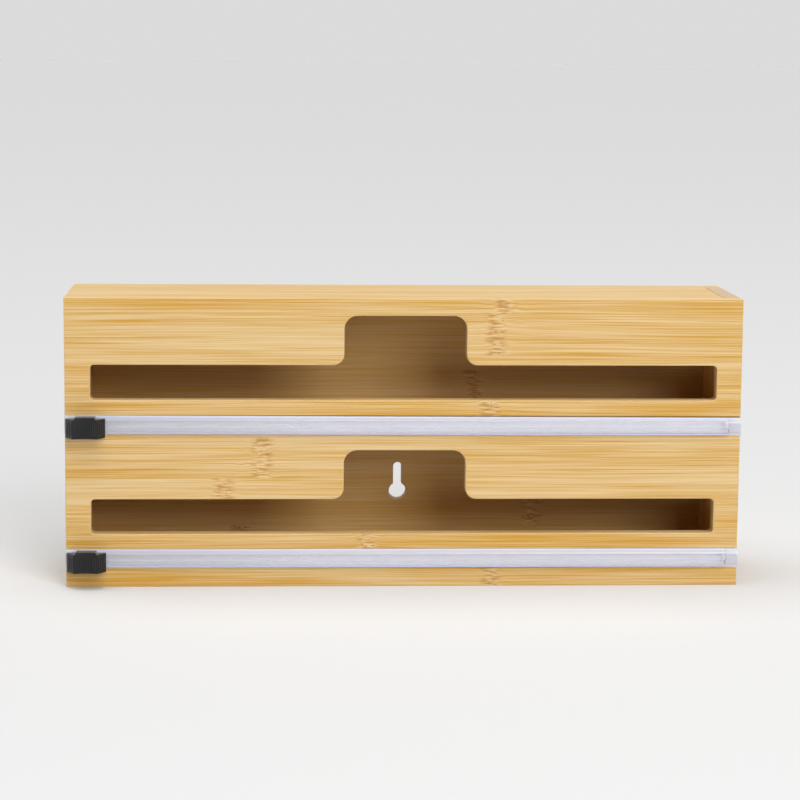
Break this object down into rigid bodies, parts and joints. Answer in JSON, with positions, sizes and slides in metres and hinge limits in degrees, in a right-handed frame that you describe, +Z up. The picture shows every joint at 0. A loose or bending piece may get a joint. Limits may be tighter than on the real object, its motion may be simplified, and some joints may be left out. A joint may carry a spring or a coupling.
{
  "type": "kitchen wrap dispenser",
  "caption": "Tiered bamboo wrap dispenser box with film slots and finger cutouts, clear cutter tracks with ribbed slide cutters, a wall keyhole and a magnetic pull-off end cover.",
  "frame": {"origin": "centre of the box's underside, where it stands on the counter", "axes": "+X along the rolls towards the removable end cover, +Y towards the back, +Z up"},
  "size_m": [0.335, 0.0819, 0.144],
  "materials": {
    "bamboo": "sanded, clear satin lacquer",
    "dowel_wood": "raw",
    "magnet_plating": "nickel plated",
    "white_tape": "matte foam tape",
    "clear_plastic": "extruded, clear",
    "carriage_plastic": "moulded",
    "blade_steel": "ground",
    "cap_plastic": "moulded, satin"
  },
  "bodies": {
    "box": {"front_panel": "bamboo", "back_panel": "bamboo", "top_board": "bamboo", "bottom_board": "bamboo", "divider_shelf": "bamboo", "left_end_panel": "bamboo", "dowel_pins": "dowel_wood", "board_magnets": "magnet_plating", "lower_track_tape": "white_tape", "lower_cutter_track": "clear_plastic", "lower_track_stops": "clear_plastic", "upper_track_tape": "white_tape", "upper_cutter_track": "clear_plastic", "upper_track_stops": "clear_plastic"},
    "upper_cutter": {"upper_slider_cap": "cap_plastic", "upper_slider_carriage": "carriage_plastic", "upper_cutter_blade": "blade_steel"},
    "lower_cutter": {"lower_slider_cap": "cap_plastic", "lower_slider_carriage": "carriage_plastic", "lower_cutter_blade": "blade_steel"},
    "end_cover": {"right_end_cover": "bamboo", "cover_magnets": "magnet_plating"}
  },
  "joints": [
    {"name": "upper_cutter_slide", "type": "slide", "parent": "box", "child": "upper_cutter", "axis": [1, 0, 0], "range_m": [0, 0.3144]},
    {"name": "lower_cutter_slide", "type": "slide", "parent": "box", "child": "lower_cutter", "axis": [1, 0, 0], "range_m": [0, 0.3144]},
    {"name": "end_cover_pull", "type": "slide", "parent": "box", "child": "end_cover", "axis": [1, 0, 0], "range_m": [0, 0.08]}
  ]
}
